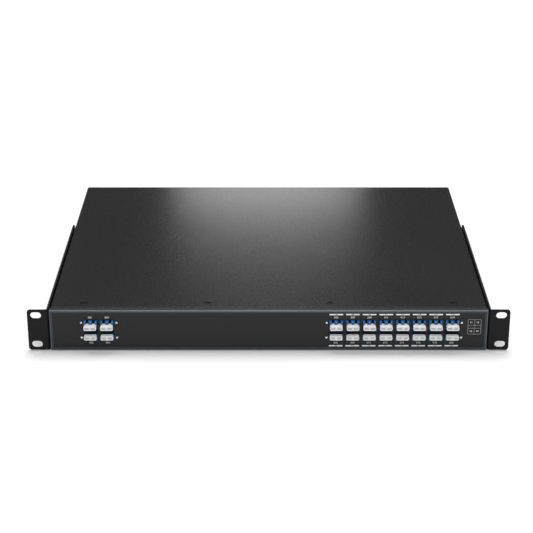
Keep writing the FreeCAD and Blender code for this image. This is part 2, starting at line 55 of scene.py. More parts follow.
# How CAD pieces are cleaned and how curved faces are told from flat ones
MERGE_DISTANCE = 0.001 * MM
FLAT_ANGLE = math.radians(0.5)
BEVEL_ANGLE = math.radians(30)
SHELL_SMOOTH_ANGLE = math.radians(50)
ROUND_SMOOTH_ANGLE = math.radians(40)
FLAT_FACE_WEIGHT = 80

# How far along an axis a face's normal points, for the face to count as
SQUARE_ON = 0.99
NEARLY_LEVEL = 0.95
TOWARDS = 0.9
SIDEWAYS = 0.5

# Widths of the rounded edges
SHEET_EDGE = 0.2 * MM
EAR_EDGE = 0.3 * MM
BEZEL_EDGE = 0.12 * MM
LID_SCREW_EDGE = 0.08 * MM
COUPLER_EDGE = 0.12 * MM
RIB_EDGE = 0.25 * MM
CAP_EDGE = 0.3 * MM
EDGE_SEGMENTS = 2
SOFT_EDGE_SEGMENTS = 3

# The front face, as the frame has it
PANEL_LOW, PANEL_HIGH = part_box("front_panel")
FACE_RECESS = 0.5 * MM
BEVEL_DEPTH = 0.8 * MM
RIM_WIDTH = 2.8 * MM
HAIR = 0.05 * MM
FACE_Y = PANEL_LOW.y + FACE_RECESS

# Marks printed on the front face
PRINT_THICKNESS = 0.04 * MM
FIGURE_SWELL = 0.02
FIGURE_SMOOTHNESS = 3
LEFT_COLUMNS = 2
COLUMNS = 10
ROWS = {"upper": 1, "lower": -1}
BAR_WIDTH = 13.6 * MM
BAR_HEIGHT = 1.4 * MM
BAR_UP = 17.3 * MM
FIRST_BAR_FIGURE = 1000
NUMBER_UP = 13.95 * MM
NUMBER_SIZE = 2.9 * MM
DASH_LENGTH = 2.2 * MM
DASH_HEIGHT = 0.2 * MM
DASH_OUT = 5.4 * MM
ARROW_SIDE = 3.1 * MM
ARROW_UP = 8.2 * MM
ARROW_CLEARANCE = 9.4 * MM
LEGEND_LEFT = 199.0 * MM
LEGEND_RIGHT = 212.8 * MM
LEGEND_LOW = -4.6 * MM
LEGEND_HIGH = 12.2 * MM
LEGEND_LINE = 0.8 * MM
LEGEND_BAND = 2.6 * MM
LEGEND_NUMBER_SIZE = 2.6 * MM
LEGEND_ROUND = 1.2 * MM
FIELD_ROUND = 0.8 * MM
BAND_ROUND = 0.3 * MM
ROUND_SEGMENTS = 5

# Details of the ports
RIBS = ((0.0, 1.4 * MM), (-5.65 * MM, 0.8 * MM), (5.65 * MM, 0.8 * MM))
RIB_LOW = 1.9 * MM
RIB_HIGH = 3.9 * MM
RIB_PROUD = 0.45 * MM
LATCH_OUT = 3.125 * MM
NOTCH_WIDTH = 2.4 * MM
NOTCH_FLOOR = 4.0 * MM
NOTCH_DEPTH = 3.0 * MM
PLAIN_SIDE = 1.6 * MM
SHADE_OUT = 6.2 * MM
SHADE_UP = 4.85 * MM
SHADE_START = 0.3 * MM
CAP_WIDTH = 12.4 * MM
CAP_HEIGHT = 4.5 * MM
HOLLOW_EDGE = 0.9 * MM
HOLLOW_UP = 1.4 * MM
HOLLOW_DEPTH = 1.2 * MM
HOLLOW_ROUND = 0.3 * MM
PLUG_DARK = 7.2 * MM
SLEEVE_SIDES = 20
SLEEVE_RADIUS = 1.15 * MM
SLEEVE_BORE = 0.65 * MM
SLEEVE_START = 8.0 * MM
SLEEVE_LENGTH = 10.0 * MM
SLEEVE_HOLLOW_SHARE = 0.8
FERRULE_PITCH = 6.25 * MM
PORT_DROP = 0.7 * MM

# Screws that hold the ears
EAR_SCREW_SIDES = 24
EAR_SCREW_RADIUS = 3.0 * MM
EAR_SCREW_HEAD = 1.5 * MM
EAR_SCREW_ROUND = 0.9 * MM
EAR_SCREW_ROUND_SEGMENTS = 4
EAR_SCREW_WALL = 0.7 * MM
EAR_SCREW_RECESS = 0.8 * MM
EAR_SCREW_ROWS = (26.0 * MM, 202.0 * MM)
EAR_SCREW_UP = 8.0 * MM
EAR_OUTSIDE = 3.0 * MM

# Seats of the lid's screws, where painted shade goes, with their heights measured from the
# screws' tops
SEAT_RADIUS = 3.7 * MM
SEAT_ABOVE = 0.35 * MM
SEAT_BELOW = 1.0 * MM

# The floor, a little below the tray, fades to plain white away from the object
FLOOR_SIZE = 20
FLOOR_COLOUR = (0.9, 0.9, 0.9, 1)
FLOOR_ROUGHNESS = 0.8
FLOOR_SHINE = 0.1
FLOOR_GAP = 0.8 * MM
FLOOR_FADE_START = 0.7
FLOOR_FADE_END = 1.8

# Detail of the noise in the shared effects, and where an edge starts and ends
GRAIN_DETAIL = 2.0
CLOUD_DETAIL = 3.0
PATCH_DETAIL = 4.0
EDGE_START = 0.52
EDGE_END = 0.62

# Light from all round as everything but the camera meets it
SURROUNDING_LIGHT = 0.08

# Each lamp's name, place, target, width, height, power and shape
LAMPS = (
    ("overhead", (0, 1.1, 2.4), (0, 1.1, 0), 3.0, 2.5, 92, "RECTANGLE"),
    ("front", (0, -1.6, 1.72), (0, 0, 0), 0.9, 0.5, 27, "RECTANGLE"),
    ("behind", (0.0, 0.78, 0.18), (0.0, 0.3, 0.02), 0.30, 0.08, 0.225, "ELLIPSE"),
)


# Working helpers

def deselect():
    bpy.ops.object.select_all(action="DESELECT")


def activate(piece):
    deselect()
    piece.select_set(True)
    bpy.context.view_layer.objects.active = piece


def placed(name, data):
    """A new object in the scene."""
    made = bpy.data.objects.new(name, data)
    bpy.context.scene.collection.objects.link(made)
    return made


def open_mesh(piece):
    """Goes into edit mode with the whole piece selected."""
    activate(piece)
    bpy.ops.object.mode_set(mode="EDIT")
    bpy.ops.mesh.select_all(action="SELECT")


def close_mesh():
    bpy.ops.object.mode_set(mode="OBJECT")


def apply_modifiers(piece):
    activate(piece)
    for modifier in list(piece.modifiers):
        bpy.ops.object.modifier_apply(modifier=modifier.name)


def settle(piece):
    """Moves the piece's place into its mesh, so that its object lies at the origin."""
    activate(piece)
    bpy.ops.object.transform_apply(location=True, rotation=True, scale=True)


def give(piece, material):
    piece.data.materials.clear()
    piece.data.materials.append(material)


def merged_copy(node, name):
    """A copy of a CAD piece whose loose triangles are merged into whole faces."""
    piece = placed(name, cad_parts[node].data.copy())
    open_mesh(piece)
    bpy.ops.mesh.customdata_custom_splitnormals_clear()
    bpy.ops.mesh.remove_doubles(threshold=MERGE_DISTANCE)
    bpy.ops.mesh.dissolve_limited(angle_limit=FLAT_ANGLE)
    close_mesh()
    return piece


def round_edges(piece, width, segments=EDGE_SEGMENTS):
    """Rounds the sharp edges and keeps the flat faces flat to the light."""
    bevel = piece.modifiers.new("rounded_edges", "BEVEL")
    bevel.width = width
    bevel.segments = segments
    bevel.limit_method = "ANGLE"
    bevel.angle_limit = BEVEL_ANGLE
    apply_modifiers(piece)
    bpy.ops.object.shade_smooth_by_angle(angle=SHELL_SMOOTH_ANGLE)
    weighted = piece.modifiers.new("flat_faces", "WEIGHTED_NORMAL")
    weighted.keep_sharp = True
    weighted.weight = FLAT_FACE_WEIGHT
    apply_modifiers(piece)


def dress(node, name, width, material):
    """A fixed CAD piece with rounded edges and its finish."""
    piece = merged_copy(node, name)
    round_edges(piece, width)
    give(piece, material)
    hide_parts(node)
    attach(piece, "enclosure")
    return piece


def block(name, low, high, material):
    """A box between two corners."""
    bpy.ops.mesh.primitive_cube_add(size=1)
    piece = bpy.context.object
    piece.name = name
    piece.location = (Vector(low) + Vector(high)) / 2
    piece.scale = Vector(high) - Vector(low)
    settle(piece)
    give(piece, material)
    return piece


def join(pieces, name):
    deselect()
    for piece in pieces:
        piece.select_set(True)
    bpy.context.view_layer.objects.active = pieces[0]
    bpy.ops.object.join()
    joined = bpy.context.object
    joined.name = name
    return joined


def centre_of(node):
    low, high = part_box(node)
    return (low + high) / 2


def copied(piece, name, start, finish, turned_over):
    """The same piece at another place, with a mesh of its own."""
    mesh = piece.data.copy()
    turn = Matrix.Rotation(math.pi if turned_over else 0.0, 4, "Y")
    mesh.transform(Matrix.Translation(finish) @ turn @ Matrix.Translation(-start))
    return placed(name, mesh)


# Effects that several finishes share

def add_socket(group, name, kind, direction, default=None):
    made = group.interface.new_socket(name=name, in_out=direction, socket_type=kind)
    if default is not None:
        made.default_value = default


def calculate(tree, operation, *values):
    """One step of arithmetic on plain numbers and other nodes' outputs."""
    made = tree.nodes.new("ShaderNodeMath")
    made.operation = operation
    for index, value in enumerate(values):
        if isinstance(value, (int, float)):
            made.inputs[index].default_value = value
        else:
            tree.links.new(value, made.inputs[index])
    return made.outputs[0]


def make_grain_group():
    """Fine grain and slow unevenness: a colour, a roughness and a height."""
    group = bpy.data.node_groups.new("surface_grain", "ShaderNodeTree")
    add_socket(group, "Colour", "NodeSocketColor", "INPUT")
    add_socket(group, "Roughness", "NodeSocketFloat", "INPUT", 0.5)
    add_socket(group, "Grain scale", "NodeSocketFloat", "INPUT", 2500.0)
    add_socket(group, "Grain contrast", "NodeSocketFloat", "INPUT", 0.15)
    add_socket(group, "Cloud scale", "NodeSocketFloat", "INPUT", 25.0)
    add_socket(group, "Cloud contrast", "NodeSocketFloat", "INPUT", 0.1)
    add_socket(group, "Colour", "NodeSocketColor", "OUTPUT")
    add_socket(group, "Roughness", "NodeSocketFloat", "OUTPUT")
    add_socket(group, "Height", "NodeSocketFloat", "OUTPUT")
    inside = group.nodes.new("NodeGroupInput")
    outside = group.nodes.new("NodeGroupOutput")
    place = group.nodes.new("ShaderNodeTexCoord")

    def unevenness(scale_name, contrast_name, detail):
        noise = group.nodes.new("ShaderNodeTexNoise")
        noise.inputs["Detail"].default_value = detail
        group.links.new(place.outputs["Object"], noise.inputs["Vector"])
        group.links.new(inside.outputs[scale_name], noise.inputs["Scale"])
        middled = calculate(group, "SUBTRACT", noise.outputs["Fac"], 0.5)
        change = calculate(group, "MULTIPLY", middled, inside.outputs[contrast_name])
        return noise.outputs["Fac"], change

    height, grain = unevenness("Grain scale", "Grain contrast", GRAIN_DETAIL)
    cloud = unevenness("Cloud scale", "Cloud contrast", CLOUD_DETAIL)[1]
    both = calculate(group, "ADD", grain, cloud)
    tint = group.nodes.new("ShaderNodeVectorMath")
    tint.operation = "SCALE"
    group.links.new(inside.outputs["Colour"], tint.inputs[0])
    group.links.new(calculate(group, "ADD", both, 1.0), tint.inputs["Scale"])
    half = calculate(group, "MULTIPLY", both, 0.5)
    rough = calculate(group, "ADD", inside.outputs["Roughness"], half)
    group.links.new(tint.outputs[0], outside.inputs["Colour"])
    group.links.new(rough, outside.inputs["Roughness"])
    group.links.new(height, outside.inputs["Height"])
    return group


def make_edge_group():
    """A finish that thins along its edges, in broken patches."""
    group = bpy.data.node_groups.new("edge_wear", "ShaderNodeTree")
    add_socket(group, "Colour", "NodeSocketColor", "INPUT")
    add_socket(group, "Edge colour", "NodeSocketColor", "INPUT")
    add_socket(group, "Amount", "NodeSocketFloat", "INPUT", 0.3)
    add_socket(group, "Patch scale", "NodeSocketFloat", "INPUT", 120.0)
    add_socket(group, "Colour", "NodeSocketColor", "OUTPUT")
    inside = group.nodes.new("NodeGroupInput")
    outside = group.nodes.new("NodeGroupOutput")
    place = group.nodes.new("ShaderNodeTexCoord")
    geometry = group.nodes.new("ShaderNodeNewGeometry")
    edge = group.nodes.new("ShaderNodeMapRange")
    edge.inputs["From Min"].default_value = EDGE_START
    edge.inputs["From Max"].default_value = EDGE_END
    group.links.new(geometry.outputs["Pointiness"], edge.inputs["Value"])
    patches = group.nodes.new("ShaderNodeTexNoise")
    patches.inputs["Detail"].default_value = PATCH_DETAIL
    group.links.new(place.outputs["Object"], patches.inputs["Vector"])
    group.links.new(inside.outputs["Patch scale"], patches.inputs["Scale"])
    broken = calculate(group, "MULTIPLY", edge.outputs["Result"], patches.outputs["Fac"])
    mixed = group.nodes.new("ShaderNodeMix")
    mixed.data_type = "RGBA"
    share = calculate(group, "MULTIPLY", broken, inside.outputs["Amount"])
    group.links.new(share, mixed.inputs["Factor"])
    group.links.new(inside.outputs["Colour"], mixed.inputs["A"])
    group.links.new(inside.outputs["Edge colour"], mixed.inputs["B"])
    group.links.new(mixed.outputs["Result"], outside.inputs["Colour"])
    return group


GRAIN = make_grain_group()
EDGES = make_edge_group()


def finish_of(name, colour, roughness, grain=(2500.0, 0.15), cloud=(25.0, 0.1),
              bump=(0.1, 0.02 * MM), edge=None, edge_amount=0.3, **shader_values):
    """A finish with grain, unevenness and worn edges.

    Grain and cloud are a scale and a contrast, and bump is a strength and a height. Other
    values go straight to the shader.
    """
    material = bpy.data.materials.new(name)
    material.use_nodes = True
    tree = material.node_tree
    shader = tree.nodes["Principled BSDF"]
    surface = tree.nodes.new("ShaderNodeGroup")
    surface.node_tree = GRAIN
    surface.inputs["Colour"].default_value = (*colour, 1)
    surface.inputs["Roughness"].default_value = roughness
    surface.inputs["Grain scale"].default_value = grain[0]
    surface.inputs["Grain contrast"].default_value = grain[1]
    surface.inputs["Cloud scale"].default_value = cloud[0]
    surface.inputs["Cloud contrast"].default_value = cloud[1]
    worn = tree.nodes.new("ShaderNodeGroup")
    worn.node_tree = EDGES
    worn.inputs["Amount"].default_value = edge_amount
    worn.inputs["Edge colour"].default_value = (*(edge or colour), 1)
    relief = tree.nodes.new("ShaderNodeBump")
    relief.inputs["Strength"].default_value = bump[0]
    relief.inputs["Distance"].default_value = bump[1]
    tree.links.new(surface.outputs["Colour"], worn.inputs["Colour"])
    tree.links.new(worn.outputs["Colour"], shader.inputs["Base Color"])
    tree.links.new(surface.outputs["Roughness"], shader.inputs["Roughness"])
    tree.links.new(surface.outputs["Height"], relief.inputs["Height"])
    tree.links.new(relief.outputs["Normal"], shader.inputs["Normal"])
    for word, value in shader_values.items():
        shader.inputs[word.replace("_", " ")].default_value = value
    return material


# What finishes of one kind have in common
MOULDED = {"grain": (1500.0, 0.08), "bump": (0.05, 0.01 * MM)}
MACHINED = {"grain": (4000.0, 0.15), "bump": (0.1, 0.01 * MM)}
MILKY_GRAIN = (600.0, 0.05)
PRINT_GRAIN = (3000.0, 0.1)

# Sheet metal and screws
POWDER_COAT = finish_of("black_powder_coat", (0.0100, 0.0100, 0.0098), 0.275,
                        grain=(1400.0, 0.16), cloud=(7.0, 0.05), bump=(0.2, 0.03 * MM),
                        edge=(0.06, 0.06, 0.06), edge_amount=0.4)
EAR_COAT = finish_of("black_ear_coat", (0.008, 0.008, 0.008), 0.5,
                     grain=(1400.0, 0.25), bump=(0.25, 0.03 * MM),
                     edge=(0.05, 0.05, 0.05), edge_amount=0.4, Specular_IOR_Level=0.14)
FACE_COAT = finish_of("black_front_face", (0.0155, 0.0155, 0.015), 0.5,
                      grain=(2000.0, 0.2), bump=(0.2, 0.02 * MM), Specular_IOR_Level=0.25)
# The near-black of the screw seats is painted shade
SEAT_PAINTED_SHADE = finish_of("screw_seat_painted_shade", (0.001, 0.001, 0.001), 0.7,
                       grain=(2000.0, 0.2), bump=(0.1, 0.02 * MM), Specular_IOR_Level=0.0)
# The bevel's blue-grey, brighter than the land's, is a painted highlight
BEVEL_PAINTED_HIGHLIGHT = finish_of("blue_grey_bevel_painted_highlight", (0.10, 0.125, 0.17), 0.3,
                         edge=(0.3, 0.34, 0.4), edge_amount=0.3, **MACHINED)
LAND_FINISH = finish_of("blue_grey_anodised_land", (0.031, 0.037, 0.052), 0.4,
                        Specular_IOR_Level=0.3, **MACHINED)
SCREW_STEEL = finish_of("black_screw_steel", (0.004, 0.004, 0.004), 0.45, grain=(3000.0, 0.2),
                        edge=(0.12, 0.12, 0.12), edge_amount=0.4, Specular_IOR_Level=0.2)

# Ports and caps; the dark ones, the ceramic among them, are painted shade for places that little
# light reaches, and the ribs' brighter blue is a painted highlight
BLUE_PLASTIC = finish_of("blue_moulded_plastic", (0.004, 0.14, 0.42), 0.28,
                         Specular_IOR_Level=0.35, **MOULDED)
# Painted shade inside the ports
BLUE_SHADE = finish_of("blue_plastic_painted_shade_inside_the_ports", (0.0005, 0.002, 0.01), 0.5,
                       Specular_IOR_Level=0.1, **MOULDED)
# Painted shadow that the upper caps cast between the rows
BLUE_PAINTED_SHADOW = finish_of("blue_plastic_painted_shadow_between_the_rows", (0.0008, 0.012, 0.06), 0.5,
                     Specular_IOR_Level=0.2, **MOULDED)
# The ribs' brighter blue is a painted highlight
BLUE_RIB_HIGHLIGHT = finish_of("blue_plastic_ribs_painted_highlight", (0.02, 0.27, 0.85), 0.2, **MOULDED)
CAP_PLASTIC = finish_of("milky_cap_plastic", (0.8, 0.8, 0.79), 0.38, grain=MILKY_GRAIN,
                        bump=(0.08, 0.02 * MM), Subsurface_Weight=0.3,
                        Subsurface_Scale=1.5 * MM)
# Painted shade in the cap's hollows
CAP_SHADE = finish_of("cap_plastic_painted_shade_in_the_hollows", (0.6, 0.6, 0.6), 0.5, grain=MILKY_GRAIN)
# Painted shade on the plug ends deep in the port
CAP_DEEP_SHADE = finish_of("cap_plastic_painted_shade_deep_in_the_port", (0.05, 0.05, 0.055), 0.5,
                     grain=MILKY_GRAIN)
# The ceramic is darkened as painted shade
CERAMIC_PAINTED_SHADE = finish_of("ceramic_with_painted_shade", (0.35, 0.35, 0.34), 0.2, grain=(3000.0, 0.03))

# Print
WHITE_PRINT = finish_of("white_print", (0.84, 0.84, 0.83), 0.5, grain=PRINT_GRAIN)
FIGURE_PRINT = finish_of("white_figures", (0.6, 0.6, 0.59), 0.5, grain=PRINT_GRAIN)
GREY_PRINT = finish_of("grey_print", (0.15, 0.15, 0.15), 0.5, grain=PRINT_GRAIN)
DARK_PRINT = finish_of("dark_print", (0.006, 0.006, 0.006), 0.5, grain=PRINT_GRAIN,
                       Specular_IOR_Level=0.2)

# Inside
MODULE_METAL = finish_of("module_case_metal", (0.55, 0.55, 0.57), 0.35,
                         grain=(900.0, 0.1), Metallic=0.9)
DRUM_PLASTIC = finish_of("drum_plastic", (0.7, 0.7, 0.68), 0.45, grain=(900.0, 0.05))
FIBRE_JACKET = finish_of("yellow_fibre_jacket", (0.72, 0.5, 0.05), 0.5, grain=(1200.0, 0.1))


# Enclosure

def finish_panel(panel):
    """The rim's bevel is a lighter copy of the land's blue-grey, a painted highlight; its land
    is blue-grey, and all the rest is black.
    """
    panel.data.materials.append(LAND_FINISH)
    panel.data.materials.append(FACE_COAT)
    for face in panel.data.polygons:
        middle = face.center
        on_land = middle.y < PANEL_LOW.y + HAIR and face.normal.y < -SQUARE_ON
        from_side = min(middle.x - PANEL_LOW.x, PANEL_HIGH.x - middle.x)
        from_top = min(middle.z - PANEL_LOW.z, PANEL_HIGH.z - middle.z)
        in_rim = min(from_side, from_top) < RIM_WIDTH - HAIR
        on_bevel = middle.y < PANEL_LOW.y + BEVEL_DEPTH + HAIR and in_rim
        if on_land:
            face.material_index = 1
        elif not on_bevel:
            face.material_index = 2


def finish_cover(cover):
    """The seats of the lid screws are near-black, as painted shade."""
    cover.data.materials.append(SEAT_PAINTED_SHADE)
    low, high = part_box("cover_screws")
    row = (low.y + high.y) / 2
    for face in cover.data.polygons:
        middle = face.center
        in_row = abs(middle.y - row) < SEAT_RADIUS and abs(middle.x) < PANEL_HIGH.x - SEAT_RADIUS
        at_screw = high.z - SEAT_BELOW < middle.z < high.z + SEAT_ABOVE
        # Painted shade on the seats' sloping faces
        if in_row and at_screw and face.normal.z < NEARLY_LEVEL:
            face.material_index = 1


def dress_enclosure():
    finish_cover(dress("top_cover", "cover_shell", SHEET_EDGE, POWDER_COAT))
    dress("chassis_tray", "tray_shell", SHEET_EDGE, POWDER_COAT)
    for side in ("left", "right"):
        dress("rack_ear_" + side, "ear_bracket_" + side, EAR_EDGE, EAR_COAT)
    finish_panel(dress("front_panel", "panel_bezel", BEZEL_EDGE, BEVEL_PAINTED_HIGHLIGHT))
    dress("cover_screws", "lid_screws", LID_SCREW_EDGE, SCREW_STEEL)


def pick_faces(piece, chosen):
    """Selects the faces that a test picks and goes into edit mode with them."""
    activate(piece)
    bpy.ops.object.mode_set(mode="EDIT")
    bpy.ops.mesh.select_mode(type="FACE")
    bpy.ops.mesh.select_all(action="DESELECT")
    close_mesh()
    for face in piece.data.polygons:
        face.select = chosen(face)
    bpy.ops.object.mode_set(mode="EDIT")


def make_ear_screw():
    """A domed screw with a round recess."""
    bpy.ops.mesh.primitive_cylinder_add(vertices=EAR_SCREW_SIDES, radius=EAR_SCREW_RADIUS,
                                        depth=EAR_SCREW_HEAD)
    piece = bpy.context.object
    pick_faces(piece, lambda face: face.normal.z > TOWARDS)
    bpy.ops.mesh.bevel(offset=EAR_SCREW_ROUND, segments=EAR_SCREW_ROUND_SEGMENTS,
                       affect="EDGES")
    close_mesh()
    pick_faces(piece, lambda face: face.normal.z > SQUARE_ON)
    bpy.ops.mesh.inset(thickness=EAR_SCREW_WALL)
    bpy.ops.mesh.extrude_region_move(
        TRANSFORM_OT_translate={"value": (0, 0, -EAR_SCREW_RECESS)})
    close_mesh()
    activate(piece)
    bpy.ops.object.shade_smooth_by_angle(angle=ROUND_SMOOTH_ANGLE)
    give(piece, SCREW_STEEL)
    return piece


def place_ear_screws():
    pattern = make_ear_screw()
    made = []
    for side, edge in ((-1, PANEL_LOW.x - EAR_OUTSIDE), (1, PANEL_HIGH.x + EAR_OUTSIDE)):
        for along in EAR_SCREW_ROWS:
            for up in (-EAR_SCREW_UP, EAR_SCREW_UP):
                mesh = pattern.data.copy()
                place = Vector((edge + side * EAR_SCREW_HEAD / 2, along, up))
                turn = Matrix.Rotation(side * math.pi / 2, 4, "Y")
                mesh.transform(Matrix.Translation(place) @ turn)
                made.append(placed("screw", mesh))
    bpy.data.objects.remove(pattern)
    screws = join(made, "ear_screws")
    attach(screws, "enclosure")


# Ports

def cut_away(piece, cutter):
    """Takes the cutter's form out of the piece, and removes the cutter."""
    difference = piece.modifiers.new("cut", "BOOLEAN")
    difference.object = cutter
    difference.solver = "EXACT"
    apply_modifiers(piece)
    bpy.data.objects.remove(cutter)


def make_coupler():
    """The coupler with open latch slots, rounded edges and three raised ribs, with painted shade
    inside the ports, a painted shadow on its plain side and a painted highlight on the ribs.
    """
    node = "adapter_upper_01"
    piece = merged_copy(node, "coupler")
    low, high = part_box(node)
    middle = centre_of(node)
    for side in (-1, 1):
        across = middle.x + side * LATCH_OUT
        notch_low = (across - NOTCH_WIDTH / 2, low.y - MM, middle.z + NOTCH_FLOOR)
        notch_high = (across + NOTCH_WIDTH / 2, low.y + NOTCH_DEPTH, high.z + MM)
        cut_away(piece, block("notch", notch_low, notch_high, BLUE_SHADE))
    open_mesh(piece)
    bpy.ops.mesh.bisect(plane_co=(middle.x, middle.y, middle.z - PLAIN_SIDE),
                        plane_no=(0, 0, 1))
    close_mesh()
    round_edges(piece, COUPLER_EDGE)
    give(piece, BLUE_PLASTIC)
    piece.data.materials.append(BLUE_SHADE)
    piece.data.materials.append(BLUE_PAINTED_SHADOW)
    for face in piece.data.polygons:
        inward = face.center - middle
        inside_body = abs(inward.x) < SHADE_OUT and abs(inward.z) < SHADE_UP
        # Painted shade on the faces inside the ports
        if inside_body and face.center.y > low.y + SHADE_START:
            face.material_index = 1
        # The plain side's darker blue is a painted shadow of the caps
        elif inward.z < -PLAIN_SIDE and abs(face.normal.x) < SIDEWAYS:
            face.material_index = 2
    ribs = []
    for across, width in RIBS:
        rib_low = (middle.x + across - width / 2, low.y - RIB_PROUD, middle.z + RIB_LOW)
        rib_high = (middle.x + across + width / 2, low.y + RIB_PROUD, middle.z + RIB_HIGH)
        # Painted highlight on the ribs
        rib = block("rib", rib_low, rib_high, BLUE_RIB_HIGHLIGHT)
        round_edges(rib, RIB_EDGE, SOFT_EDGE_SEGMENTS)
        ribs.append(rib)
    return join([piece] + ribs, "coupler")


def make_sleeves():
    """Two ceramic sleeves deep in the ports, darkened as painted shade."""
    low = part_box("adapter_upper_01")[0]
    middle = centre_of("adapter_upper_01")
    sleeves = []
    for side in (-0.5, 0.5):
        bpy.ops.mesh.primitive_cylinder_add(vertices=SLEEVE_SIDES, radius=SLEEVE_RADIUS,
                                            depth=SLEEVE_LENGTH)
        sleeve = bpy.context.object
        sleeve.rotation_euler = (math.pi / 2, 0, 0)
        sleeve.location = (middle.x + side * FERRULE_PITCH,
                           low.y + SLEEVE_START + SLEEVE_LENGTH / 2,
                           middle.z - PORT_DROP)
        settle(sleeve)
        pick_faces(sleeve, lambda face: face.normal.y < -TOWARDS)
        bpy.ops.mesh.inset(thickness=SLEEVE_RADIUS - SLEEVE_BORE)
        bpy.ops.mesh.extrude_region_move(
            TRANSFORM_OT_translate={"value": (0, SLEEVE_LENGTH * SLEEVE_HOLLOW_SHARE, 0)})
        close_mesh()
        activate(sleeve)
        bpy.ops.object.shade_smooth_by_angle(angle=ROUND_SMOOTH_ANGLE)
        give(sleeve, CERAMIC_PAINTED_SHADE)
        sleeves.append(sleeve)
    return join(sleeves, "sleeves")


def make_cap():
    """The dust cap with soft edges, painted shade in the hollows of its grip and on its inner
    plug ends.
    """
    node = "dust_cap_upper_01"
    piece = merged_copy(node, "cap")
    round_edges(piece, CAP_EDGE, SOFT_EDGE_SEGMENTS)
    give(piece, CAP_PLASTIC)
    piece.data.materials.append(CAP_SHADE)
    piece.data.materials.append(CAP_DEEP_SHADE)
    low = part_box(node)[0]
    for face in piece.data.polygons:
        inward = face.center - low
        # Painted shade on the plug ends inside the port
        if inward.y > PLUG_DARK:
            face.material_index = 2
        across = HOLLOW_EDGE < inward.x < CAP_WIDTH - HOLLOW_EDGE
        deep = HAIR < inward.y - HOLLOW_ROUND < HOLLOW_DEPTH
        level = abs(inward.z - CAP_HEIGHT / 2) < HOLLOW_UP
        # Painted shade in the hollows of the grip
        if across and deep and level:
            face.material_index = 1
    return piece


def place_ports():
    patterns = {"coupler": make_coupler(), "sleeves": make_sleeves(), "cap": make_cap()}
    start = centre_of("adapter_upper_01")
    for row, sign in ROWS.items():
        for number in range(1, COLUMNS + 1):
            label = "%s_%02d" % (row, number)
            finish = centre_of("adapter_" + label)
            made = {}
            for name, piece in patterns.items():
                made[name] = copied(piece, "%s_%s" % (name, label), start, finish, sign < 0)
            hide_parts("adapter_" + label)
            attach(made["coupler"], "enclosure")
            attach(made["sleeves"], "enclosure")
            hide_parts("dust_cap_" + label)
            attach(made["cap"], "dust_cap_" + label)
    for piece in patterns.values():
        bpy.data.objects.remove(piece)


def dress_inside():
    """Plain finishes for the CAD pieces that the lid hides."""
    for node, material in (("filter_module_left", MODULE_METAL),
                           ("filter_module_right", MODULE_METAL),
                           ("fibre_drums", DRUM_PLASTIC),
                           ("fibre_coils", FIBRE_JACKET),
                           ("fibre_fan_left", FIBRE_JACKET),
                           ("fibre_fan_right", FIBRE_JACKET),
                           ("inner_connectors", BLUE_PLASTIC)):
        give(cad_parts[node], material)


# Printed marks

def plate(across, up, width, height, material, layer=0):
    """A thin printed rectangle on the front face, or on the print below it."""
    back = FACE_Y - layer * PRINT_THICKNESS
    return block("plate", (across - width / 2, back - PRINT_THICKNESS, up - height / 2),
                 (across + width / 2, back, up + height / 2), material)


def figures(text, across, up, size, material, layer=0):
    """Plain numbers, standing on the front face and facing forwards."""
    bpy.ops.object.text_add()
    words = bpy.context.object
    words.data.body = text
    words.data.size = size
    words.data.align_x = "CENTER"
    words.data.align_y = "CENTER"
    words.data.extrude = PRINT_THICKNESS / 2
    words.data.offset = FIGURE_SWELL * size
    words.data.resolution_u = FIGURE_SMOOTHNESS
    activate(words)
    bpy.ops.object.convert(target="MESH")
    piece = bpy.context.object
    piece.rotation_euler = (math.pi / 2, 0, 0)
    piece.location = (across, FACE_Y - (layer + 0.5) * PRINT_THICKNESS, up)
    settle(piece)
    give(piece, material)
    return piece


def arrow(across, up, pointing):
    """A small solid triangle that points up or down."""
    bpy.ops.mesh.primitive_cylinder_add(vertices=3, radius=ARROW_SIDE / 2,
                                        depth=PRINT_THICKNESS)
    piece = bpy.context.object
    piece.rotation_euler = (math.pi / 2, 0 if pointing > 0 else math.pi, 0)
    piece.location = (across, FACE_Y - PRINT_THICKNESS / 2, up)
    settle(piece)
    give(piece, WHITE_PRINT)
    return piece


def rounded_plate(across, up, width, height, radius, material, layer):
    """A printed rectangle with round corners."""
    piece = plate(across, up, width, height, material, layer)
    activate(piece)
    bpy.ops.object.mode_set(mode="EDIT")
    bpy.ops.mesh.select_mode(type="EDGE")
    bpy.ops.mesh.select_all(action="DESELECT")
    close_mesh()
    points = piece.data.vertices
    for edge in piece.data.edges:
        along = points[edge.vertices[0]].co - points[edge.vertices[1]].co
        edge.select = abs(along.y) > PRINT_THICKNESS / 2
    bpy.ops.object.mode_set(mode="EDIT")
    bpy.ops.mesh.bevel(offset=radius, segments=ROUND_SEGMENTS, affect="EDGES")
    close_mesh()
    return piece


def printed(pieces, name):
    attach(join(pieces, name), "enclosure")


